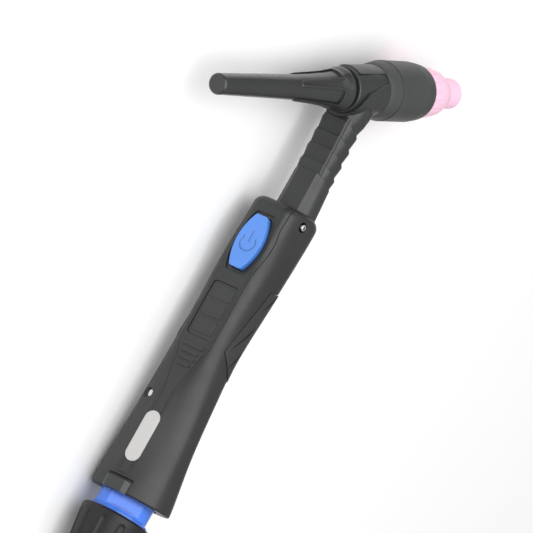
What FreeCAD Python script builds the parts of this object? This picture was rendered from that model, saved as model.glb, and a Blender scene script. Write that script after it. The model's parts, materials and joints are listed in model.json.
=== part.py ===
import FreeCAD, Part

import math
import os

# TIG torch, in millimetres. +X runs along the handle from the cable gland to the head,
# +Y is the side of the push button and the back cap, +Z is the torch's right-hand side.
# The origin is the centre of the gland's rear mouth.

V = FreeCAD.Vector
X_AXIS = V(1, 0, 0)
Y_AXIS = V(0, 1, 0)
Z_AXIS = V(0, 0, 1)
ORIGIN = V(0, 0, 0)

# ---- cable gland and swivel ----
CABLE_R = 7.0
NUT_LENGTH = 28.9
NUT_FRONT_R, NUT_REAR_R = 18.5, 15.3
NUT_LIP = 2.5
NUT_CAVITY_R = 11.8
NUT_CAVITY_END = 11.9
NUT_FLUTES, FLUTE_R = 12, 4.2
TAIL_R = 12.5
THREAD_GAP = 0.1
COLLAR_TAIL_START = 14.0
COLLAR_FLANGE_R = 14.3
COLLAR_HUB_R = 13.9
COLLAR_REAR_FLANGE_R = 15.2
COLLAR_FLAT, COLLAR_FLAT_TURN = 10.9, 31
COLLAR_FRONT = 40.7
SLEEVE_R = 9.6
RUNNING_GAP = 0.06
BALL_X = 47.4
BALL_R = 11.6
SEAT_R = 13.2
SEAT_SPAN = (44.3, 50.1)

# ---- handle ----
HANDLE_REAR = 39.4
HANDLE_FRONT = 202.0
WALL = 2.0
FRONT_ROUND, REAR_ROUND = 5.0, 1.0
FRONT_SLANT, REAR_SLANT = 0.12, 0.06
RECESS_DEPTH = 6.0
MOUTH_R = 15.35
# station: x, half width, top, bottom, half width of the top flat, slope beside the flat
STATIONS = [
    (38.0, 22.2, 16.5, -17.8, 4.4, 26.0),
    (64.0, 20.1, 16.8, -12.6, 4.4, 26.0),
    (89.0, 18.2, 17.1, -9.4, 4.4, 24.0),
    (104.0, 17.1, 17.3, -8.5, 5.2, 16.0),
    (120.0, 16.0, 17.5, -8.1, 6.0, 6.0),
    (138.0, 15.8, 17.6, -9.6, 6.0, 0.5),
    (157.0, 16.4, 17.8, -11.0, 6.0, 0.5),
    (180.0, 16.2, 17.9, -13.8, 6.0, 0.5),
    (202.0, 16.1, 17.8, -14.3, 6.0, 0.5),
]
SEAM = 0.22
COVER_LOW = 13.55
# outline of the top cover on one side: x, half width
COVER_EDGE = [(47.6, 2.45), (93.0, 2.55), (103.5, 4.7), (114.5, 6.9), (119.0, 9.0), (160.0, 9.1),
              (166.5, 10.3), (174.0, 11.3), (181.0, 11.3), (186.5, 10.4), (195.0, 10.6), (204.0, 10.6)]

# ---- control panel ----
BUTTON_X = 175.4
BUTTON_HALF = (14.2, 6.9, 3.9)
BUTTON_TOP = 20.4
RECESS_FLOOR, RECESS_DROP = 17.35, 0.9
PAD_X, PAD_HALF = 137.6, (14.6, 7.7)
PAD_FLOOR = 16.3
PAD_FIELDS = (128.8, 138.0, 147.2)
RIBS = [(118.0, 6.6), (114.6, 5.5), (111.2, 4.9), (107.8, 3.8)]
LABEL_X, LABEL_HALF = 67.8, (13.6, 4.3)
LATCH_SPAN = (38.2, 44.4)
LATCH_HALF = 7.2
LATCH_FLOOR = 15.95
LATCH_TOP = 18.6
LATCH_TRAVEL = 1.2

# ---- neck ----
NECK_Y = -4.0
NECK_ROOT_R = 7.4
NECK_START = 196.6
NECK_SLOPE = 0.055
NECK_RIBS = (225.3, 233.1, 240.9, 248.9)
NECK_LAND = 2.4
NECK_CREASE = 219.9
NECK_LEAN = 0.36
TUBE_R, TUBE_BORE = 4.0, 2.6
TUBE_REAR = 152.0

# ---- head ----
HEAD_ANGLE = 67.2
HEAD_X, HEAD_Y = 270.8, -2.8
SHELL_REAR_R, SHELL_FRONT_R = 11.4, 12.2
SHELL_REAR = 19.1
COLLAR_R = 15.0
COLLAR_SPAN = (-47.4, -6.3)
COLLAR_CAVITY_R = 12.95
CORE_R = 8.5
CORE_BORE = 5.4
CAP_THREAD_R = 6.6
CAP_END, CAP_END_R = 127.8, 5.1
CAP_BASE = 21.6
NOZZLE_BODY_R = 12.65
NOZZLE_GROOVES = 16
NOZZLE_TIP_R = 7.65
NOZZLE_BORE_R = 5.6
NOZZLE_THREAD_R = 9.0
NOZZLE_SPAN = (-80.8, -30.3)
ELECTRODE_R = 1.6
ELECTRODE_LENGTH = 175.0
ELECTRODE_TIP = -85.8

# ---- fasteners ----
BLIND_SCREWS = [(60.0, -7.3), (88.8, 13.0), (112.0, 9.6)]
FRONT_SCREW = (194.5, 6.9)
INSERT_R = 2.0
SCREW_R = 1.25
SCREW_HEAD_R = 2.4


# ================= helpers =================

def turned(profile, base=ORIGIN, axis=X_AXIS):
    """A solid of revolution from (along, radius) points about an axis through base."""
    points = [V(r, 0, s) for s, r in profile]
    face = Part.Face(Part.makePolygon(points + points[:1]))
    solid = face.revolve(ORIGIN, Z_AXIS, 360)
    if solid.Volume < 0:
        solid.reverse()
    solid.Placement = FreeCAD.Placement(base, FreeCAD.Rotation(Z_AXIS, axis))
    return solid


def ring(start, end, outer, inner, base=ORIGIN, axis=X_AXIS):
    return turned([(start, inner), (end, inner), (end, outer), (start, outer)], base, axis)


def rod(start, end, radius, base=ORIGIN, axis=X_AXIS):
    direction = V(axis).normalize()
    return Part.makeCylinder(radius, end - start, base + direction * start, direction)


def capsule(start, end, radius):
    """A round bar with domed ends, whose domes are centred on start and end."""
    length = (end - start).Length
    bend = radius / math.sqrt(2)
    outline = Part.Wire([
        Part.Arc(V(0, 0, -radius), V(bend, 0, -bend), V(radius, 0, 0)).toShape(),
        Part.makeLine(V(radius, 0, 0), V(radius, 0, length)),
        Part.Arc(V(radius, 0, length), V(bend, 0, length + bend), V(0, 0, length + radius)).toShape(),
        Part.makeLine(V(0, 0, length + radius), V(0, 0, -radius))])
    solid = Part.Face(outline).revolve(ORIGIN, Z_AXIS, 360)
    if solid.Volume < 0:
        solid.reverse()
    solid.Placement = FreeCAD.Placement(start, FreeCAD.Rotation(Z_AXIS, end - start))
    return solid


def box(x, y, z):
    """A box from three (low, high) pairs."""
    return Part.makeBox(x[1] - x[0], y[1] - y[0], z[1] - z[0], V(x[0], y[0], z[0]))


def outline_y(points, low, high):
    """An outline of (x, z) points, closed and swept along Y from low to high."""
    wire = Part.makePolygon([V(x, low, z) for x, z in points + points[:1]])
    return Part.Face(wire).extrude(V(0, high - low, 0))


def outline_z(points, low, high):
    """An outline of (x, y) points, closed and swept along Z from low to high."""
    wire = Part.makePolygon([V(x, y, low) for x, y in points + points[:1]])
    return Part.Face(wire).extrude(V(0, 0, high - low))


def rounded_slab(centre_x, half_x, half_z, radius, low, high):
    """A rectangle in XZ with rounded corners, swept along Y."""
    slab = box((centre_x - half_x, centre_x + half_x), (low, high), (-half_z, half_z))
    upright = [e for e in slab.Edges if abs(e.tangentAt(e.FirstParameter).y) > 0.99]
    return slab.makeFillet(radius, upright)


def solid_of(shape):
    """The shape with its seams removed, as one solid when it is one."""
    clean = shape.removeSplitter()
    return clean.Solids[0] if len(clean.Solids) == 1 else clean


def fillet_try(shape, edges, radius):
    """The shape with the edges rounded, or the shape itself where rounding fails."""
    try:
        rounded = shape.makeFillet(radius, edges)
    except Exception:
        return shape
    return rounded if rounded.isValid() and rounded.Volume > 0.5 * shape.Volume else shape


# ================= handle body =================

def section_wire(x, half, top, bottom, flat, slope, inset=0.0):
    """One cross-section: a top flat, and a cubic curve down each side to the bottom."""
    half, top, bottom = half - inset, top - inset, bottom + inset
    middle = bottom + 0.46 * (top - bottom)
    reach = 0.62 * (half - flat)
    fall = math.radians(slope)
    rise = 0.56 * (top - middle)
    belly = 0.60

    def curve(sign):
        upper = [V(x, top, sign * flat),
                 V(x, top - reach * math.sin(fall), sign * (flat + reach * math.cos(fall))),
                 V(x, middle + rise, sign * half), V(x, middle, sign * half)]
        lower = [V(x, middle, sign * half), V(x, middle - belly * (middle - bottom), sign * half),
                 V(x, bottom, sign * belly * half), V(x, bottom, 0)]
        return upper, lower

    def edge(poles):
        bezier = Part.BezierCurve()
        bezier.setPoles(poles)
        return bezier.toShape()

    up_right, low_right = curve(1)
    up_left, low_left = curve(-1)
    edges = [Part.makeLine(up_left[0], up_right[0]), edge(up_right), edge(low_right),
             edge(low_left[::-1]), edge(up_left[::-1])]
    return Part.Wire(edges)


def handle_loft(inset=0.0):
    wires = [section_wire(*station, inset=inset) for station in STATIONS]
    return Part.makeLoft(wires, True, False)


def handle_outer():
    """The handle's outside: slanted front and rear faces, and rounded rims."""
    lean, reach = 30 * FRONT_SLANT, 30 * REAR_SLANT
    solid = handle_loft().common(outline_z([
        (HANDLE_REAR - reach, 30), (HANDLE_REAR + reach, -30), (HANDLE_FRONT + lean, -30),
        (HANDLE_FRONT - lean, 30)], -30, 30))
    for low, high, radius in ((HANDLE_FRONT - lean, 240, FRONT_ROUND), (0, HANDLE_REAR + reach, REAR_ROUND)):
        rim = [e for e in solid.Edges if e.BoundBox.XMin > low and e.BoundBox.XMax < high]
        solid = fillet_try(solid, rim, radius)
    return solid


def cover_outline(grow):
    """The top cover's outline, mirrored about the handle's middle plane."""
    right = [(x, half + grow) for x, half in COVER_EDGE]
    right[0] = (COVER_EDGE[0][0] - grow, right[0][1])
    return right + [(x, -half) for x, half in reversed(right)]


def button_outline(grow, half=BUTTON_HALF):
    """The pill outline of the button: arched sides and short straight ends."""
    length, middle, end = half[0] + grow, half[1] + grow, half[2] + grow
    inner = length - 1.2

    def at(x, z):
        return V(BUTTON_X + x, 0, z)

    edges = [Part.Arc(at(-inner, end), at(0, middle), at(inner, end)).toShape(),
             Part.Arc(at(inner, end), at(length - 0.15, end - 0.9), at(length, end - 2.2)).toShape(),
             Part.makeLine(at(length, end - 2.2), at(length, 2.2 - end)),
             Part.Arc(at(length, 2.2 - end), at(length - 0.15, 0.9 - end), at(inner, -end)).toShape(),
             Part.Arc(at(inner, -end), at(0, -middle), at(-inner, -end)).toShape(),
             Part.Arc(at(-inner, -end), at(0.15 - length, 0.9 - end), at(-length, 2.2 - end)).toShape(),
             Part.makeLine(at(-length, 2.2 - end), at(-length, end - 2.2)),
             Part.Arc(at(-length, end - 2.2), at(0.15 - length, end - 0.9), at(-inner, end)).toShape()]
    return Part.Wire(edges)


def button_slab(grow, low, high):
    face = Part.Face(button_outline(grow))
    face.translate(V(0, low, 0))
    return face.extrude(V(0, high - low, 0))


def handle_tube(outer):
    """The hollow handle, closed at the front and at the rear but for its mouths."""
    front = HANDLE_FRONT - RECESS_DEPTH
    cavity = handle_loft(WALL).common(box((HANDLE_REAR + 11.6, front - 2.6), (-30, 30), (-30, 30)))
    tube = outer.cut(cavity)
    socket = rod(HANDLE_REAR + 3.9, HANDLE_REAR + 12.6, SEAT_R + 0.1)
    mouth = turned([(HANDLE_REAR - 4, 0), (HANDLE_REAR - 4, MOUTH_R), (HANDLE_REAR + 4.0, MOUTH_R),
                    (HANDLE_REAR + 4.0, 0)])
    neck_hole = rod(front - 5, front + 5, NECK_ROOT_R + 0.15, V(0, NECK_Y, 0))
    return tube.cut(socket).cut(mouth).cut(neck_hole).cut(neck_recess())


def neck_recess():
    """The opening the neck cover stands in, with clearance all round."""
    return neck_length([(HANDLE_FRONT - RECESS_DEPTH, 13.4, 0), (HANDLE_FRONT + 8, 13.4, 0)])


def screw_bosses(sign, inside):
    """Screw posts on one half, trimmed to the cavity."""
    return [Part.makeCylinder(3.0, 24, V(x, y, 0), V(0, 0, sign)).common(inside)
            for x, y in BLIND_SCREWS + [FRONT_SCREW]]


def screw_holes():
    """Deep holes from the left for every screw, and the front screw's nut recess on the right."""
    cuts = []
    for x, y in BLIND_SCREWS + [FRONT_SCREW]:
        cuts.append(Part.makeCylinder(SCREW_HEAD_R + 0.2, 30, V(x, y, -8.1), V(0, 0, -1)))
        cuts.append(Part.makeCylinder(SCREW_R + 0.05, 18.6, V(x, y, -8.6), Z_AXIS))
    for x, y in BLIND_SCREWS:
        cuts.append(Part.makeCylinder(INSERT_R, 7.0, V(x, y, 0), Z_AXIS))
    x, y = FRONT_SCREW
    cuts.append(Part.makeCylinder(SCREW_HEAD_R + 0.2, 30, V(x, y, 9.5), Z_AXIS))
    return cuts


def grip_outline(grow):
    """Side view of the soft grip under the handle."""
    return [(159.4 + grow, 4.7), (122.2 - grow, 12.0 + grow), (113.0 - grow, 2.0), (107.5 - grow, -22.0),
            (164.0 + grow, -22.0)]


def handle_parts(outer):
    """The two handle halves, and the hollow tube they are cut from."""
    inside = handle_loft(WALL * 0.5)
    tube = handle_tube(outer)
    grip_bed = outer.cut(handle_loft(1.1)).common(outline_z(grip_outline(0.1), -30, 30))
    cuts = [neck_recess(), outline_y(cover_outline(SEAM / 2), COVER_LOW, 30.0), grip_bed, latch_pocket(),
            label_recess(outer)] + screw_holes()
    halves = {}
    for name, sign in (("handle_shell_right", 1), ("handle_shell_left", -1)):
        side = box((0, 260), (-40, 40), (0, 60) if sign > 0 else (-60, 0))
        half = tube.common(side)
        half = half.fuse(screw_bosses(sign, inside.common(side)))
        for cut in cuts:
            half = half.cut(cut)
        halves[name] = half
    return halves, tube


def latch_pocket():
    """The pocket the rear latch slides in, with a deeper slot ahead of the latch."""
    across = (-LATCH_HALF - 0.3, LATCH_HALF + 0.3)
    end = LATCH_SPAN[1] + LATCH_TRAVEL + 0.5
    pocket = box((HANDLE_REAR - 3, end), (LATCH_FLOOR, 30), across)
    return pocket.fuse(box((LATCH_SPAN[1], end), (14.6, 17), across))


def label_recess(outer):
    slab = rounded_slab(LABEL_X, LABEL_HALF[0] + 0.1, LABEL_HALF[1] + 0.1, LABEL_HALF[1] + 0.05, 14, 40)
    return outer.common(slab).cut(lowered(outer, 0.45))


def top_cover(outer, tube):
    cover = tube.common(outline_y(cover_outline(-SEAM / 2), COVER_LOW + 0.05, 30.0))
    cover = cover.cut(outer.common(button_slab(2.1, 12, 40)).cut(lowered(outer, RECESS_DROP)))
    cover = cover.cut(button_slab(0.35, 0, 40))
    cover = cover.cut(rounded_slab(PAD_X, PAD_HALF[0] + 0.15, PAD_HALF[1] + 0.15, 2.6, PAD_FLOOR, 40))
    cover = cover.cut(label_recess(outer))
    for x, half in RIBS:
        bar = rounded_slab(x, 0.85, half, 0.8, 16.0, 18.1)
        cover = cover.fuse(bar)
    return cover


def grip_pad(outer):
    """The soft pad in the cover, with three raised fields."""
    slab = rounded_slab(PAD_X, PAD_HALF[0], PAD_HALF[1], 2.5, PAD_FLOOR + 0.05, 40)
    pad = lowered(outer, 0.55).common(slab)
    for x in PAD_FIELDS:
        field = rounded_slab(x, 3.55, 5.9, 1.0, PAD_FLOOR + 0.3, 40)
        pad = pad.fuse(lowered(outer, 0.15).common(field))
    return pad


def lowered(outer, drop):
    return outer.translated(V(0, -drop, 0))


def label_plate(outer):
    slab = rounded_slab(LABEL_X, LABEL_HALF[0], LABEL_HALF[1], LABEL_HALF[1] - 0.01, 15, 40)
    raised = outer.translated(V(0, 0.25, 0)).common(slab)
    return raised.cut(lowered(outer, 0.4))


def rear_latch():
    """The locking tab at the rear: a bevelled block on a short foot."""
    x0, x1 = LATCH_SPAN
    low, shoulder, bevel = LATCH_FLOOR + 0.1, LATCH_FLOOR + 0.5, 2.4
    top = [V(x0, low, -LATCH_HALF), V(x0, low, LATCH_HALF), V(x0, shoulder, LATCH_HALF),
           V(x0, LATCH_TOP, LATCH_HALF - bevel), V(x0, LATCH_TOP, bevel - LATCH_HALF),
           V(x0, shoulder, -LATCH_HALF)]
    block = Part.Face(Part.makePolygon(top + top[:1])).extrude(V(x1 - x0, 0, 0))
    long_edges = [e for e in block.Edges if abs(e.tangentAt(e.FirstParameter).x) > 0.99
                  and e.CenterOfMass.y > shoulder + 0.1]
    return fillet_try(block, long_edges, 0.5)


def underside_grip(outer):
    """The rubber grip under the handle, with raised overlapping fins."""
    skin = handle_loft(-0.45).cut(handle_loft(1.0))
    skin = skin.common(outline_z(grip_outline(0.0), -30, 30))
    for x0, y0, x1, y1 in ((136.5, 4.0, 124.0, 10.4), (126.5, 0.6, 115.5, 6.6), (159.0, -1.5, 148.0, 5.0)):
        length = math.hypot(x1 - x0, y1 - y0)
        nx, ny = -(y1 - y0) / length, (x1 - x0) / length
        groove = outline_z([(x0 - 8 * (x1 - x0) / length, y0 - 8 * (y1 - y0) / length), (x1, y1),
                            (x0 + 1.4 * nx, y0 + 1.4 * ny)], -30, 30)
        skin = skin.cut(groove.cut(handle_loft(0.35)))
    return skin


# ================= control parts =================

def power_button():
    body = button_slab(0, RECESS_FLOOR - 1.2, BUTTON_TOP)
    top = [e for e in body.Edges if abs(e.CenterOfMass.y - BUTTON_TOP) < 1e-3]
    body = fillet_try(body, top, 1.2)
    stem = Part.makeCylinder(2.2, 4.4, V(BUTTON_X, RECESS_FLOOR - 5.2, 0), Y_AXIS)
    ring_wire = Part.makeTorus(4.2, 0.42, V(BUTTON_X - 1.0, BUTTON_TOP, 0), Y_AXIS)
    gap = box((BUTTON_X + 0.9, BUTTON_X + 6), (15, 25), (-3.2, 3.2))
    bar = rounded_slab(BUTTON_X + 2.6, 3.0, 0.5, 0.45, BUTTON_TOP - 0.35, BUTTON_TOP + 1)
    return body.fuse(stem).cut(ring_wire.cut(gap)).cut(bar)


def button_seal():
    """The rubber diaphragm under the button."""
    sheet = button_slab(-0.8, 13.9, 14.6)
    return sheet.cut(Part.makeCylinder(2.7, 10, V(BUTTON_X, 10, 0), Y_AXIS))


def microswitch():
    case = box((BUTTON_X - 6.2, BUTTON_X + 6.2), (4.2, 9.6), (-3.0, 3.0))
    plunger = Part.makeCylinder(1.2, 1.0, V(BUTTON_X, 9.5, 0), Y_AXIS)
    legs = [box((BUTTON_X + dx - 0.4, BUTTON_X + dx + 0.4), (2.95, 4.3), (-0.5, 0.5))
            for dx in (-4.5, 0, 4.5)]
    return case.fuse([plunger] + legs)


def switch_board():
    board = box((BUTTON_X - 18, BUTTON_X + 8), (1.5, 2.9), (-7.5, 7.5))
    for dx in (-15.5, 5.8):
        board = board.cut(Part.makeCylinder(1.2, 5, V(BUTTON_X + dx, 0, 5.2), Y_AXIS))
    return board


def signal_socket():
    shell = box((BUTTON_X - 17, BUTTON_X - 9), (2.95, 8.2), (-5.2, 5.2))
    hollow = box((BUTTON_X - 18, BUTTON_X - 10.2), (3.9, 7.3), (-4.2, 4.2))
    pins = [box((BUTTON_X - 15.5, BUTTON_X - 9.5), (5.2, 5.9), (z - 0.35, z + 0.35)) for z in (-2.5, 0, 2.5)]
    return shell.cut(hollow).fuse(pins)


# ================= fasteners =================

def shell_screws():
    screws = []
    for x, y in BLIND_SCREWS + [FRONT_SCREW]:
        shank = Part.makeCylinder(SCREW_R, 17.6, V(x, y, -8.5), Z_AXIS)
        head = Part.makeCylinder(SCREW_HEAD_R, 1.8, V(x, y, -10.0), Z_AXIS)
        socket = prism_z(6, 1.25, V(x, y, -10.0), 1.2)
        screws.append(head.fuse(shank).cut(socket))
    return Part.makeCompound(screws)


def prism_z(sides, radius, base, height):
    corners = [base + V(radius * math.cos(a), radius * math.sin(a), 0)
               for a in [2 * math.pi * i / sides for i in range(sides)]]
    return Part.Face(Part.makePolygon(corners + corners[:1])).extrude(V(0, 0, height))


def shell_nuts():
    """Brass inserts in the blind bosses, and the front screw's slotted barrel nut."""
    bore = SCREW_R + 0.02
    nuts = [ring(0.4, 6.8, INSERT_R - 0.02, bore, V(x, y, 0), Z_AXIS) for x, y in BLIND_SCREWS]
    x, y = FRONT_SCREW
    barrel = turned([(9.6, bore), (9.6, SCREW_HEAD_R - 0.02), (12.4, SCREW_HEAD_R - 0.02), (12.4, 1.7),
                     (15.6, 1.7), (15.9, 1.4), (15.9, 0), (11.6, 0), (11.6, bore)], V(x, y, 0), Z_AXIS)
    nuts.append(barrel.cut(prism_z(6, 0.95, V(x, y, 14.4), 3)))
    return Part.makeCompound(nuts)


# ================= cable gland and swivel =================

def gland_nut():
    """The large fluted nut; its flutes run out at the rear and end in a dome short of the front."""
    profile = [(0, CABLE_R), (0, NUT_REAR_R - 1.2), (1.2, NUT_REAR_R), (NUT_LENGTH - 1.0, NUT_FRONT_R),
               (NUT_LENGTH, NUT_FRONT_R - 1.0), (NUT_LENGTH, TAIL_R + THREAD_GAP),
               (NUT_CAVITY_END, TAIL_R + THREAD_GAP), (NUT_CAVITY_END, NUT_CAVITY_R), (NUT_LIP, NUT_CAVITY_R),
               (NUT_LIP, CABLE_R)]
    nut = turned(profile)
    for i in range(NUT_FLUTES):
        angle = math.radians(15 + 360 * i / NUT_FLUTES)
        out = V(0, math.cos(angle), math.sin(angle))
        rear, front = out * (NUT_REAR_R + 2.0), out * (NUT_FRONT_R + 2.9)
        nut = nut.cut(capsule(V(-8, 0, 0) + rear, V(NUT_LENGTH - 6.2, 0, 0) + front, FLUTE_R))
    return nut


def gland_washer():
    return ring(NUT_LIP + 0.1, NUT_LIP + 1.1, NUT_CAVITY_R - 0.3, CABLE_R + 0.2)


def cable_grip():
    """The rubber bush that squeezes the cable, slit into fingers at its rear."""
    start, end = NUT_LIP + 1.4, 11.4
    bush = turned([(start, CABLE_R + 0.1), (start, NUT_CAVITY_R - 2.2), (start + 3, NUT_CAVITY_R - 0.8),
                   (end, NUT_CAVITY_R - 0.8), (end, CABLE_R + 0.1)])
    for i in range(6):
        slit = box((start - 1, start + 4.5), (CABLE_R - 1, 20), (-0.4, 0.4))
        slit.rotate(ORIGIN, X_AXIS, 60 * i)
        bush = bush.cut(slit)
    return bush


def swivel_ball():
    """The hollow ball sleeve that the collar turns on."""
    front, rear = BALL_X + 5.4, 12.0
    neck_in = math.sqrt(BALL_R ** 2 - SLEEVE_R ** 2)
    steps = 10
    low, high = -math.asin(neck_in / BALL_R), math.asin(5.4 / BALL_R)
    arc = [(BALL_X + BALL_R * math.sin(a), BALL_R * math.cos(a))
           for a in [low + (high - low) * i / steps for i in range(steps + 1)]]
    sleeve = turned([(rear, CABLE_R), (rear, SLEEVE_R)] + arc + [(front, CABLE_R)])
    return sleeve.cut(ring(12.6, 13.6, 12, SLEEVE_R - 0.7))


def sleeve_circlip():
    clip = ring(12.65, 13.55, SLEEVE_R + 1.2, SLEEVE_R - 0.65)
    return clip.cut(box((12, 14), (0, 20), (-1.6, 1.6)))


def swivel_collar():
    """The blue collar: a tail for the nut, two flanges and a hub with two flats for a spanner."""
    bore = SLEEVE_R + RUNNING_GAP
    collar = turned([(COLLAR_TAIL_START, bore), (COLLAR_TAIL_START, TAIL_R - 0.4),
                     (COLLAR_TAIL_START + 0.4, TAIL_R), (NUT_LENGTH + 0.3, TAIL_R),
                     (NUT_LENGTH + 0.3, COLLAR_REAR_FLANGE_R), (30.2, COLLAR_REAR_FLANGE_R),
                     (31.2, COLLAR_HUB_R), (38.8, COLLAR_HUB_R), (39.4, COLLAR_FLANGE_R),
                     (COLLAR_FRONT, COLLAR_FLANGE_R), (COLLAR_FRONT, bore)])
    for turn in (COLLAR_FLAT_TURN, COLLAR_FLAT_TURN + 180):
        flat = box((31.6, 38.6), (COLLAR_FLAT, 20), (-20, 20))
        flat.rotate(ORIGIN, X_AXIS, turn)
        collar = collar.cut(flat)
    return collar


def swivel_seat():
    start, end = SEAT_SPAN
    seat = ring(start, end, SEAT_R, 6.0)
    return seat.cut(Part.makeSphere(BALL_R + 0.12, V(BALL_X, 0, 0))).cut(rod(start - 1, end + 1, 10.4))


# ================= neck =================

def neck_wire(x, half, flat, bulge, lean):
    """A neck section about the sloping neck line: a front flat, its rounded corners, and a round back."""
    middle = NECK_Y + NECK_SLOPE * (x - NECK_START)
    top = 7.2 + (half - 9.9) * 0.7
    low, deep = -0.72 * (half - 0.6), 0.6 - half
    corner = 1.5

    def at(y, z):
        return V(x + lean * y, middle + y, z)

    def side(sign):
        shoulder = at(top - corner, sign * (flat + corner))
        middle_of_round = at(top + bulge - corner / 2, sign * (flat + bulge + corner / 2))
        round_top = Part.Arc(at(top, sign * flat), middle_of_round, shoulder)
        flank = Part.Arc(shoulder, at(0.7, sign * half), at(low, sign * half * 0.72))
        return [round_top.toShape(), flank.toShape()]

    back = Part.Arc(at(low, half * 0.72), at(deep, 0), at(low, -half * 0.72)).toShape()
    return Part.Wire([Part.makeLine(at(top, -flat), at(top, flat))] + side(1) + [back] + side(-1)[::-1])


def head_point(s, y=0.0, z=0.0):
    """A point in head coordinates: s along the head's axis, y away from the handle, z right."""
    angle = math.radians(HEAD_ANGLE)
    along = V(-math.cos(angle), math.sin(angle), 0)
    away = V(math.sin(angle), math.cos(angle), 0)
    return V(HEAD_X, HEAD_Y, 0) + along * s + away * y + Z_AXIS * z


HEAD_AXIS = head_point(1) - head_point(0)
HEAD_BASE = head_point(0)


def head_turned(profile):
    return turned(profile, HEAD_BASE, HEAD_AXIS)


def head_rod(start, end, radius):
    return rod(start, end, radius, HEAD_BASE, HEAD_AXIS)


def head_slab(points, reach=30):
    """An outline of (y, s) points in head coordinates, swept through the head along Z."""
    corners = [head_point(s, y, -reach) for y, s in points]
    return Part.Face(Part.makePolygon(corners + corners[:1])).extrude(V(0, 0, 2 * reach))


def neck_length(stations, flat=6.0, bulge=0.02):
    """A straight-sided length of neck through (x, half width, lean) stations."""
    return Part.makeLoft([neck_wire(x, half, flat, bulge, lean) for x, half, lean in stations], True, True)


def neck_sleeve():
    """The moulded neck cover: stepped ribs, a flare, and a saddle round the head."""
    start = NECK_CREASE
    neck = neck_length([(NECK_START, 11.1, 0), (start, 10.3, NECK_LEAN)], 5.4)
    for ledge in NECK_RIBS:
        rib = neck_length([(start, 9.6, NECK_LEAN), (ledge, 10.4, NECK_LEAN)], 5.8, 0.31)
        start = ledge + NECK_LAND
        land = neck_length([(ledge, 9.55, NECK_LEAN), (start, 9.6, NECK_LEAN)], 5.8, 0.31)
        neck = neck.fuse([rib, land])
    neck = neck.fuse(neck_length([(start, 9.6, NECK_LEAN), (start + 4.0, 10.9, 0.2), (262.0, 12.0, 0)], 5.4))
    root = rod(184.0, NECK_START + 0.5, NECK_ROOT_R, V(0, NECK_Y, 0))
    front, rear = COLLAR_SPAN[1] + 0.1, SHELL_REAR - 0.7
    zone = head_slab([(7.6, front), (5.8, 0.0), (3.4, 7.0), (2.0, 11.5), (-1.5, 14.6), (-6.5, 16.6),
                      (-14.0, 18.0), (-14.0, front)])
    body = neck.fuse(root).fuse(head_rod(front, rear, SHELL_FRONT_R + 0.75).common(zone))
    head_space = head_turned([(-60, 0), (-60, SHELL_FRONT_R + 0.05), (3, SHELL_FRONT_R + 0.05),
                              (SHELL_REAR, SHELL_REAR_R + 0.05), (40, SHELL_REAR_R + 0.05), (40, 0)])
    body = body.cut(head_space)
    for low, high in ((-60, front), (rear, 60)):
        body = body.cut(head_slab([(-22, low), (-22, high), (60, high), (60, low)], 60))
    body = body.cut(rod(150, 300, TUBE_R + 0.05, V(0, NECK_Y, 0)))
    return max(body.Solids, key=lambda s: s.Volume)


def neck_clamp():
    block = box((184.4, 191.2), (-10.2, 4.8), (-11.0, 11.0))
    block = block.common(handle_loft(WALL + 0.3))
    return block.cut(rod(180, 200, NECK_ROOT_R + 0.05, V(0, NECK_Y, 0)))


def power_tube():
    tube = ring(TUBE_REAR, 266.0, TUBE_R, TUBE_BORE, V(0, NECK_Y, 0))
    return tube.cut(head_rod(-60, 60, CORE_R + 0.02))


def power_adapter():
    """The hexagon fitting that joins the cable's conductor and gas to the tube."""
    corners = [V(TUBE_REAR - 8, NECK_Y + 4.6 * math.sin(a), 4.6 * math.cos(a))
               for a in [math.radians(60 * i) for i in range(6)]]
    block = Part.Face(Part.makePolygon(corners + corners[:1])).extrude(V(18, 0, 0))
    tail = rod(TUBE_REAR - 16, TUBE_REAR - 7.5, 3.3, V(0, NECK_Y, 0))
    adapter = block.fuse(tail)
    adapter = adapter.cut(rod(TUBE_REAR - 20, TUBE_REAR + 1, TUBE_BORE, V(0, NECK_Y, 0)))
    return adapter.cut(rod(TUBE_REAR - 0.05, TUBE_REAR + 20, TUBE_R + 0.02, V(0, NECK_Y, 0)))


# ================= head =================

def head_core():
    core = head_turned([(-22.0, CORE_BORE), (-22.0, CORE_R), (18.0, CORE_R), (18.0, CAP_THREAD_R),
                        (4.0, CAP_THREAD_R), (4.0, CORE_BORE)])
    gas = rod(255, HEAD_X, TUBE_BORE, V(0, NECK_Y, 0))
    return core.cut(gas)


def head_shell():
    """The moulded body of the head, with a raised band down its outer side."""
    front = COLLAR_SPAN[1] + 0.1
    shell = head_turned([(front, CORE_R + 0.02), (front, SHELL_FRONT_R), (3.0, SHELL_FRONT_R),
                         (SHELL_REAR - 0.5, SHELL_REAR_R), (SHELL_REAR, SHELL_REAR_R - 0.5),
                         (SHELL_REAR, CORE_R + 0.02)])
    band = head_turned([(front, SHELL_FRONT_R - 0.5), (front, SHELL_FRONT_R + 0.55),
                        (16.6, SHELL_REAR_R + 0.65), (16.6, SHELL_REAR_R - 0.5)])
    band_zone = head_slab([(10.6, -8), (30, -8), (30, 20), (10.0, 20)], 6.6)
    shell = shell.fuse(band.common(band_zone))
    return shell.cut(rod(150, HEAD_X, TUBE_R + 0.05, V(0, NECK_Y, 0)))


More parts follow.
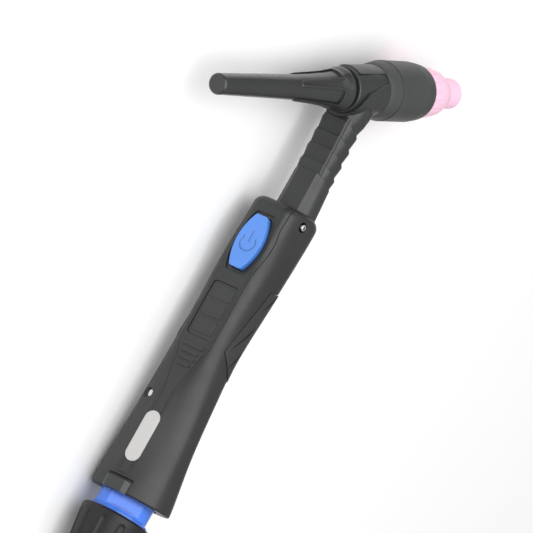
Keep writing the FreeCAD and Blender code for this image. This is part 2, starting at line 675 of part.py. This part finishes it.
def head_collar():
    """The insulating collar over the nozzle's rear: a cone, a groove and a long barrel."""
    front, rear = COLLAR_SPAN
    cavity, thread = COLLAR_CAVITY_R, NOZZLE_THREAD_R + 0.15
    return head_turned([
        (rear, CORE_R + 0.05), (rear, 12.5), (rear - 0.5, 13.2), (-8.9, 13.9), (-14.3, 14.8), (-14.45, 14.4),
        (-14.95, 14.4), (-15.1, COLLAR_R), (-37.5, COLLAR_R), (-40.0, 14.7), (-43.5, 14.35), (-45.6, 14.0),
        (-46.6, 13.65), (front, 13.2), (front, cavity), (-28.4, cavity), (-28.4, thread), (-22.1, thread),
        (-22.1, CORE_R + 0.05)])


def collet_body():
    return head_turned([(-46.0, 2.8), (-46.0, NOZZLE_THREAD_R - 0.8), (-45.2, NOZZLE_THREAD_R - 0.08),
                        (-22.2, NOZZLE_THREAD_R - 0.08), (-22.2, CORE_BORE - 0.03), (-8.0, CORE_BORE - 0.03),
                        (-8.0, 2.8)])


def gas_lens_screen():
    screen = head_turned([(-48.0, 1.9), (-48.0, 8.0), (-46.05, 8.0), (-46.05, 1.9)])
    holes = []
    for radius, count in ((3.6, 8), (5.4, 12), (7.0, 16)):
        for i in range(count):
            angle = 2 * math.pi * i / count
            at = head_point(-50, radius * math.cos(angle), radius * math.sin(angle))
            holes.append(Part.makeCylinder(0.45, 6, at, HEAD_AXIS))
    return screen.cut(Part.makeCompound(holes))


def collet():
    tube = head_turned([(-44.0, ELECTRODE_R + 0.05), (-44.0, 2.2), (-41.0, 2.75), (3.5, 2.75),
                        (3.5, ELECTRODE_R + 0.05)])
    slit = head_slab([(0, -46), (4, -46), (4, -24), (0, -24)], 0.35)
    return tube.cut(slit)


def tungsten_electrode():
    rear = ELECTRODE_TIP + ELECTRODE_LENGTH
    return head_turned([(ELECTRODE_TIP, 0), (ELECTRODE_TIP, 0.25), (ELECTRODE_TIP + 7, ELECTRODE_R),
                        (rear - 0.3, ELECTRODE_R), (rear, ELECTRODE_R - 0.3), (rear, 0)])


def nozzle_gasket():
    return head_turned([(-30.1, NOZZLE_THREAD_R + 0.5), (-30.1, NOZZLE_BODY_R), (-28.7, NOZZLE_BODY_R),
                        (-28.7, NOZZLE_THREAD_R + 0.5)])


def ceramic_nozzle():
    """The gas cup: a grooved barrel, a necked cone and a rounded lip."""
    tip, rear = NOZZLE_SPAN
    steps = 5
    lip = [(tip + 1.6 * (1 - math.cos(a)), NOZZLE_TIP_R - 1.6 * (1 - math.sin(a)))
           for a in [math.radians(90 * i / steps) for i in range(steps + 1)]]
    nozzle = head_turned([(tip, NOZZLE_BORE_R)] + lip + [
        (-70.2, NOZZLE_TIP_R), (-68.2, 8.3), (-65.0, 9.9), (-62.2, 11.25), (-59.8, 11.8), (-57.0, 12.3),
        (-53.6, NOZZLE_BODY_R), (rear, NOZZLE_BODY_R), (rear, NOZZLE_THREAD_R), (-48.6, NOZZLE_THREAD_R),
        (-58.0, NOZZLE_BORE_R + 1.2), (-66.0, NOZZLE_BORE_R)])
    for i in range(NOZZLE_GROOVES):
        angle = 2 * math.pi * i / NOZZLE_GROOVES + math.radians(20.9)
        start = head_point(-59.8, 12.85 * math.sin(angle), 12.85 * math.cos(angle))
        nozzle = nozzle.cut(Part.makeCylinder(0.75, 12.8, start, HEAD_AXIS))
    return nozzle


def back_cap():
    """The long back cap: a flared base with four raised frames, and a tapering tube."""
    cap = head_turned([
        (4.6, 2.4), (4.6, CAP_THREAD_R - 0.5), (5.0, CAP_THREAD_R - 0.1), (18.4, CAP_THREAD_R - 0.1),
        (18.4, 7.2), (CAP_BASE, 7.2), (CAP_BASE, 10.3), (CAP_BASE + 0.6, 10.95), (23.6, 10.75), (26.0, 9.75),
        (30.0, 8.75), (38.0, 7.75), (50.0, 6.85), (64.0, 6.2), (CAP_END - 0.7, CAP_END_R + 0.1),
        (CAP_END, CAP_END_R - 0.6), (CAP_END, 0), (CAP_END - 4, 0), (CAP_END - 4, 2.4)])
    return cap.fuse([cap_frame(11 + 90 * i) for i in range(4)])


def cap_frame(degrees):
    """A raised U-shaped rib on the cap's flared base, open towards the cap's end."""
    skin = head_turned([(28.4, 7.0), (28.4, 9.95), (29.8, 9.75), (38.7, 8.45), (50.0, 7.6), (60.7, 6.98),
                        (62.4, 6.7), (63.0, 6.2), (63.0, 5.0), (38.0, 5.5)])
    wide, narrow, rail = 4.9, 4.4, 0.95
    points = [(-wide, 27.0), (wide, 27.0), (narrow, 63.5), (narrow - rail, 63.5), (wide - rail, 29.9),
              (rail - wide, 29.9), (rail - narrow, 63.5), (-narrow, 63.5)]
    corners = [head_point(s, y, 0) for y, s in points]
    zone = Part.Face(Part.makePolygon(corners + corners[:1])).extrude(V(0, 0, 30))
    zone.rotate(HEAD_BASE, HEAD_AXIS, -degrees)
    return skin.common(zone)


def cap_o_ring():
    return Part.makeTorus(8.35, 0.95, head_point(20.1), HEAD_AXIS)


# ================= output =================

def build():
    outer = handle_outer()
    halves, tube = handle_parts(outer)
    parts = dict(halves)
    parts["top_cover"] = top_cover(outer, tube)
    parts["grip_pad"] = grip_pad(outer)
    parts["label_plate"] = label_plate(outer)
    parts["rear_latch"] = rear_latch()
    parts["underside_grip"] = underside_grip(outer)
    parts["power_button"] = power_button()
    parts["button_seal"] = button_seal()
    parts["microswitch"] = microswitch()
    parts["switch_board"] = switch_board()
    parts["signal_socket"] = signal_socket()
    parts["shell_screws"] = shell_screws()
    parts["shell_nuts"] = shell_nuts()
    parts["gland_nut"] = gland_nut()
    parts["gland_washer"] = gland_washer()
    parts["cable_grip"] = cable_grip()
    parts["swivel_ball"] = swivel_ball()
    parts["sleeve_circlip"] = sleeve_circlip()
    parts["swivel_collar"] = swivel_collar()
    parts["swivel_seat"] = swivel_seat()
    parts["neck_sleeve"] = neck_sleeve()
    parts["neck_clamp"] = neck_clamp()
    parts["power_tube"] = power_tube()
    parts["power_adapter"] = power_adapter()
    parts["head_core"] = head_core()
    parts["head_shell"] = head_shell()
    parts["head_collar"] = head_collar()
    parts["collet_body"] = collet_body()
    parts["gas_lens_screen"] = gas_lens_screen()
    parts["collet"] = collet()
    parts["tungsten_electrode"] = tungsten_electrode()
    parts["nozzle_gasket"] = nozzle_gasket()
    parts["ceramic_nozzle"] = ceramic_nozzle()
    parts["back_cap"] = back_cap()
    parts["cap_o_ring"] = cap_o_ring()
    return parts


os.makedirs("parts", exist_ok=True)
for name, shape in build().items():
    shape = solid_of(shape)
    print(name, "solids", len(shape.Solids), "valid", shape.isValid(), "volume", round(shape.Volume, 1))
    shape.exportStep("parts/" + name + ".step")
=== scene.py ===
"""Looks for the TIG torch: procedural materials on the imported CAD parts, studio and camera."""
import json

import bpy
from mathutils import Matrix, Vector


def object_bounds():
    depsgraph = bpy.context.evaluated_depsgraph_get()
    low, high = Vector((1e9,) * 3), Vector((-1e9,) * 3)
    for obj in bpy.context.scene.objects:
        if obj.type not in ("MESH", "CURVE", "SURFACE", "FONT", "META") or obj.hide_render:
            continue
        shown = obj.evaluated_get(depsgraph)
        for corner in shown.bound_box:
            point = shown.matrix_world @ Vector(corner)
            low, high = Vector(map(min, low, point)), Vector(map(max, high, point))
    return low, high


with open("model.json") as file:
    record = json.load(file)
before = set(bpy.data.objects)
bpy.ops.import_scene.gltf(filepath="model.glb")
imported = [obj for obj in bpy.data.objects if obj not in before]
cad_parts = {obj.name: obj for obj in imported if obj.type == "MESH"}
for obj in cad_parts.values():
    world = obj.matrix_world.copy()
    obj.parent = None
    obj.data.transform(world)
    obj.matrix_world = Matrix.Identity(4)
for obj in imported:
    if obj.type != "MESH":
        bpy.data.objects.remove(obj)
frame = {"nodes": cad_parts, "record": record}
CAD_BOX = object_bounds()
NODES = frame["nodes"]
MM = 0.001

# Masks and bumps
BEVEL_SAMPLES = 6
CREASE_SAMPLES = 8
EDGE_TURN = (0.004, 0.05)       # how far a bevelled normal turns, from flat to a sharp edge
CREASE_OPEN = (0.35, 0.9)       # how open the surroundings are, from a deep crease to none
NOISE_ROUGHNESS = 0.55

# Moulded parts
# The second scale breaks up the edge lightening, which is partly wear and partly a painted highlight
MOTTLE_SCALE, WEAR_HIGHLIGHT_SCALE, RUB_SCALE = 45.0, 320.0, 110.0
# Painted shade in creases: the colour is scaled down to this there
CREASE_SHADE = 0.25
# Edge lightening: partly wear, partly a painted highlight along the edges
WORN_HIGHLIGHT_GAIN, WORN_HIGHLIGHT_LIFT = 1.8, 0.02
EDGE_POLISH = 0.08
GRAIN_STRENGTH = 0.6

# Metal parts
LINE_SCALE, LINE_DEPTH, LINE_STRENGTH = 900.0, 0.01, 0.5
TARNISH_SCALE, TARNISH_SHADE = 140.0, 0.72
METAL_EDGE = 0.15 * MM

# Studio: metres and watts
FLOOR_HALF, FLOOR_GAP = 6.0, 0.2 * MM
LIGHT_TARGET = (0.16, 0.0, 0.0)
ROOM_HEIGHT = (-0.1, 0.9)       # direction's Z, from floor to overhead
ROOM_STRENGTH = (0.10, 0.75)
CAMERA_PLACE = (-0.40885, 3.27786, 1.99974)
CAMERA_RIGHT = (0.48562, -0.39038, 0.78216)
CAMERA_UP = (0.86131, 0.36661, -0.35178)
SENSOR_WIDTH, LENS, CLIP_END = 36.0, 540.3, 20.0


# ---------------------------------------------------------------- material tools

def fill(node, **values):
    """Sets a node's unlinked inputs; an underscore stands for a space in the input's name."""
    for name, value in values.items():
        node.inputs[name.replace("_", " ")].default_value = value
    return node


def shaded(colour, factor, lift=0.0):
    return tuple(min(1.0, c * factor + lift) for c in colour)


class Graph:
    """A small helper around a material's node tree."""

    def __init__(self, name):
        self.material = bpy.data.materials.new(name)
        self.material.use_nodes = True
        tree = self.material.node_tree
        self.nodes, self.links = tree.nodes, tree.links
        self.shader = self.nodes["Principled BSDF"]
        self.coords = None

    def add(self, kind, **settings):
        node = self.nodes.new(kind)
        for key, value in settings.items():
            setattr(node, key, value)
        return node

    def link(self, out, into):
        self.links.new(out, into)

    def object_coords(self):
        if self.coords is None:
            self.coords = self.add("ShaderNodeTexCoord").outputs["Object"]
        return self.coords

    def noise(self, scale, detail=3.0, stretch=None):
        coords = self.object_coords()
        if stretch:
            mapping = fill(self.add("ShaderNodeMapping"), Scale=stretch)
            self.link(coords, mapping.inputs["Vector"])
            coords = mapping.outputs["Vector"]
        node = fill(self.add("ShaderNodeTexNoise"), Scale=scale, Detail=detail, Roughness=NOISE_ROUGHNESS)
        self.link(coords, node.inputs["Vector"])
        return node.outputs["Fac"]

    def math(self, operation, a, b):
        node = self.add("ShaderNodeMath", operation=operation)
        for socket, value in zip(node.inputs, (a, b)):
            if isinstance(value, (int, float)):
                socket.default_value = value
            else:
                self.link(value, socket)
        return node.outputs[0]

    def span(self, value, low, high, to_low, to_high):
        """Maps low..high to to_low..to_high, clamped."""
        node = fill(self.add("ShaderNodeMapRange"), From_Min=low, From_Max=high,
                    To_Min=to_low, To_Max=to_high)
        self.link(value, node.inputs["Value"])
        return node.outputs["Result"]

    def mix(self, fac, first, second):
        node = self.add("ShaderNodeMix", data_type="RGBA")
        self.link(fac, node.inputs["Factor"])
        for socket, value in ((node.inputs["A"], first), (node.inputs["B"], second)):
            if isinstance(value, tuple):
                socket.default_value = (*value, 1.0)
            else:
                self.link(value, socket)
        return node.outputs["Result"]

    def bevel(self, radius):
        return fill(self.add("ShaderNodeBevel", samples=BEVEL_SAMPLES), Radius=radius).outputs["Normal"]

    def edges(self, radius):
        """A mask of the part's sharp edges, from how far a bevelled normal turns there."""
        normal = self.bevel(radius)
        geometry = self.add("ShaderNodeNewGeometry")
        dot = self.add("ShaderNodeVectorMath", operation="DOT_PRODUCT")
        self.link(normal, dot.inputs[0])
        self.link(geometry.outputs["Normal"], dot.inputs[1])
        turned = self.math("SUBTRACT", 1.0, dot.outputs["Value"])
        return self.span(turned, *EDGE_TURN, 0.0, 1.0)

    def creases(self, reach):
        """A mask of seams, slots and inner corners, from ambient occlusion; it places the painted shade."""
        node = fill(self.add("ShaderNodeAmbientOcclusion", samples=CREASE_SAMPLES), Distance=reach)
        return self.span(node.outputs["AO"], *CREASE_OPEN, 1.0, 0.0)

    def surface(self, edge, height, depth, strength):
        """Rounds the edges over a small radius and adds a bump of the given depth in millimetres."""
        normal = self.bevel(edge)
        bump = fill(self.add("ShaderNodeBump"), Strength=strength, Distance=depth * MM)
        self.link(height, bump.inputs["Height"])
        self.link(normal, bump.inputs["Normal"])
        self.link(bump.outputs["Normal"], self.shader.inputs["Normal"])


def moulded(name, colour, rough, depth=0.02, grain=1800.0, edge=0.35 * MM, wear_and_edge_highlight=0.25, mottle=0.10,
            coat=0.0, coat_rough=0.1, specular=0.5, scuff=0.05, painted_crease_shade=0.55, reach=1.6 * MM):
    """Moulded plastic, rubber or ceramic: spark grain, faint mottling, painted shade in creases, and edges
    lightened partly as wear, partly as a painted highlight.
    """
    graph = Graph(name)
    shader = fill(graph.shader, Specular_IOR_Level=specular, Coat_Weight=coat, Coat_Roughness=coat_rough)

    mask = graph.edges(edge)
    patches = graph.span(graph.noise(MOTTLE_SCALE, 4.0), 0.35, 0.65, 0.0, 1.0)
    base = graph.mix(patches, shaded(colour, 1.0 - mottle), shaded(colour, 1.0 + mottle))
    # Painted shade: seams, slots and inner corners are darkened towards CREASE_SHADE of the colour by the
    # occlusion mask
    painted_shade_amount = graph.math("MULTIPLY", graph.creases(reach), painted_crease_shade)
    base = graph.mix(painted_shade_amount, base, shaded(colour, CREASE_SHADE))
    # Edges lighten: partly wear, partly a painted highlight along the edges, broken up by noise
    amount = graph.math("MULTIPLY", mask, wear_and_edge_highlight)
    amount = graph.math("MULTIPLY", amount, graph.span(graph.noise(WEAR_HIGHLIGHT_SCALE), 0.35, 0.6, 0.4, 1.0))
    worn_and_highlit = graph.mix(amount, base, shaded(colour, WORN_HIGHLIGHT_GAIN, WORN_HIGHLIGHT_LIFT))
    graph.link(worn_and_highlit, shader.inputs["Base Color"])

    rub = graph.span(graph.noise(RUB_SCALE, 5.0), 0.3, 0.7, rough - scuff, rough + scuff)
    polished = graph.math("ADD", rub, graph.math("MULTIPLY", mask, -EDGE_POLISH))
    graph.link(polished, shader.inputs["Roughness"])
    graph.surface(edge, graph.noise(grain), depth, GRAIN_STRENGTH)
    return graph.material


def metal(name, colour, rough, lines=(1.0, 1.0, 1.0)):
    """Turned or plated metal with fine machining lines and tarnish."""
    graph = Graph(name)
    shader = fill(graph.shader, Metallic=1.0)
    brush = graph.noise(LINE_SCALE, 2.0, stretch=lines)
    tarnish = graph.span(graph.noise(TARNISH_SCALE, 4.0), 0.4, 0.7, 0.0, 0.6)
    graph.link(graph.mix(tarnish, colour, shaded(colour, TARNISH_SHADE)), shader.inputs["Base Color"])
    graph.link(graph.span(brush, 0.3, 0.7, rough - 0.08, rough + 0.1), shader.inputs["Roughness"])
    graph.surface(METAL_EDGE, brush, LINE_DEPTH, LINE_STRENGTH)
    return graph.material


def plain(name, colour, rough):
    """A matt studio surface with a barely visible change of tone."""
    graph = Graph(name)
    tone = graph.span(graph.noise(6.0, 2.0), 0.4, 0.6, 0.0, 1.0)
    graph.link(graph.mix(tone, colour, shaded(colour, 1.01)), graph.shader.inputs["Base Color"])
    fill(graph.shader, Roughness=rough)
    return graph.material


# ---------------------------------------------------------------- materials

MATERIALS = {
    "handle": moulded("nylon_handle", (0.0185, 0.0195, 0.0190), 0.40, depth=0.030, specular=0.45, wear_and_edge_highlight=0.5),
    "cover": moulded("nylon_cover", (0.0225, 0.0238, 0.0232), 0.40, depth=0.030, specular=0.45, wear_and_edge_highlight=0.5),
    "soft_grip": moulded("soft_grip_rubber", (0.024, 0.025, 0.0245), 0.50, depth=0.035, scuff=0.04),
    "label": moulded("label_face", (0.50, 0.495, 0.485), 0.50, depth=0.006, mottle=0.015, wear_and_edge_highlight=0.1, painted_crease_shade=0.3),
    "latch": moulded("nylon_latch", (0.026, 0.0275, 0.027), 0.40, depth=0.025),
    # The button takes a strong painted shade over a wide reach, which darkens its sides
    "button": moulded("button_blue", (0.076, 0.235, 0.70), 0.32, depth=0.010, mottle=0.03, wear_and_edge_highlight=0.45,
                      edge=0.6 * MM, coat=0.25, coat_rough=0.2, painted_crease_shade=0.92, reach=3.2 * MM),
    "rubber": moulded("black_rubber", (0.018, 0.018, 0.018), 0.62, depth=0.04),
    "switch_case": moulded("switch_black", (0.02, 0.02, 0.022), 0.35, depth=0.01),
    "board": moulded("circuit_board", (0.02, 0.11, 0.045), 0.35, depth=0.01),
    "steel": metal("zinc_steel", (0.66, 0.67, 0.68), 0.26),
    "brass": metal("plated_brass", (0.74, 0.72, 0.68), 0.28),
    "gland": moulded("nylon_gland", (0.010, 0.010, 0.010), 0.44, depth=0.035, specular=0.35),
    # A strong painted shade over a wide reach darkens the collar's flange and inner corners
    "collar_blue": moulded("collar_blue", (0.055, 0.20, 0.80), 0.30, depth=0.008, mottle=0.03,
                           wear_and_edge_highlight=0.08, coat=0.15, coat_rough=0.2, painted_crease_shade=0.95, reach=4.0 * MM),
    "neck": moulded("neck_resin", (0.023, 0.0245, 0.024), 0.36, depth=0.020, wear_and_edge_highlight=0.4),
    "copper": metal("turned_copper", (0.84, 0.46, 0.30), 0.28),
    "head_grey": moulded("head_resin", (0.044, 0.046, 0.0455), 0.52, depth=0.030),
    "tungsten": metal("ground_tungsten", (0.46, 0.47, 0.48), 0.34, lines=(8.0, 8.0, 1.0)),
    "gasket": moulded("white_ptfe", (0.80, 0.79, 0.76), 0.42, depth=0.01, mottle=0.02),
    "ceramic": moulded("pink_alumina", (0.93, 0.58, 0.74), 0.50, depth=0.012, mottle=0.02, wear_and_edge_highlight=0.12,
                       painted_crease_shade=0.25),
    "cap": moulded("phenolic_cap", (0.020, 0.021, 0.021), 0.30, depth=0.006, coat=0.10, coat_rough=0.15,
                   wear_and_edge_highlight=0.3),
}
for entry in frame["record"]["subparts"]:
    node = NODES[entry["node"]]
    node.data.materials.clear()
    node.data.materials.append(MATERIALS[entry["material_slot"]])


# ---------------------------------------------------------------- studio

def make_floor():
    mesh = bpy.data.meshes.new("studio_floor")
    size, z = FLOOR_HALF, CAD_BOX[0][2] - FLOOR_GAP
    mesh.from_pydata([(-size, -size, z), (size, -size, z), (size, size, z), (-size, size, z)], [],
                     [(0, 1, 2, 3)])
    floor = bpy.data.objects.new("studio_floor", mesh)
    bpy.context.scene.collection.objects.link(floor)
    floor.data.materials.append(plain("floor_white", (0.93, 0.93, 0.93), 0.6))


def area_light(name, place, size, power):
    """A rectangular light that faces the middle of the torch."""
    data = bpy.data.lights.new(name, "AREA")
    data.shape, data.size, data.size_y, data.energy = "RECTANGLE", size[0], size[1], power
    light = bpy.data.objects.new(name, data)
    bpy.context.scene.collection.objects.link(light)
    light.location = place
    light.rotation_euler = (Vector(LIGHT_TARGET) - Vector(place)).to_track_quat("-Z", "Y").to_euler()


def make_world():
    """A pale room: bright overhead, darker towards the floor."""
    world = bpy.data.worlds.new("studio_world")
    bpy.context.scene.world = world
    world.use_nodes = True
    tree = world.node_tree
    background = fill(tree.nodes["Background"], Color=(1.0, 1.0, 1.0, 1.0))
    coords = tree.nodes.new("ShaderNodeTexCoord")
    parts = tree.nodes.new("ShaderNodeSeparateXYZ")
    height = fill(tree.nodes.new("ShaderNodeMapRange"), From_Min=ROOM_HEIGHT[0], From_Max=ROOM_HEIGHT[1],
                  To_Min=ROOM_STRENGTH[0], To_Max=ROOM_STRENGTH[1])
    tree.links.new(coords.outputs["Generated"], parts.inputs["Vector"])
    tree.links.new(parts.outputs["Z"], height.inputs["Value"])
    tree.links.new(height.outputs["Result"], background.inputs["Strength"])


def make_camera():
    data = bpy.data.cameras.new("camera")
    data.sensor_width, data.lens, data.clip_end = SENSOR_WIDTH, LENS, CLIP_END
    camera = bpy.data.objects.new("camera", data)
    bpy.context.scene.collection.objects.link(camera)
    right, up = Vector(CAMERA_RIGHT), Vector(CAMERA_UP)
    turn = Matrix((right, up, right.cross(up))).transposed().to_4x4()
    camera.matrix_world = Matrix.Translation(Vector(CAMERA_PLACE)) @ turn
    bpy.context.scene.camera = camera


make_floor()
make_world()
area_light("key", place=(0.20, 0.80, 1.00), size=(1.5, 1.5), power=19.0)
area_light("edge", place=(0.9, -0.1, 0.55), size=(0.15, 0.8), power=0.6)
make_camera()
scene = bpy.context.scene
scene.view_settings.view_transform = "Standard"
scene.view_settings.look = "None"

bpy.context.view_layer.update()
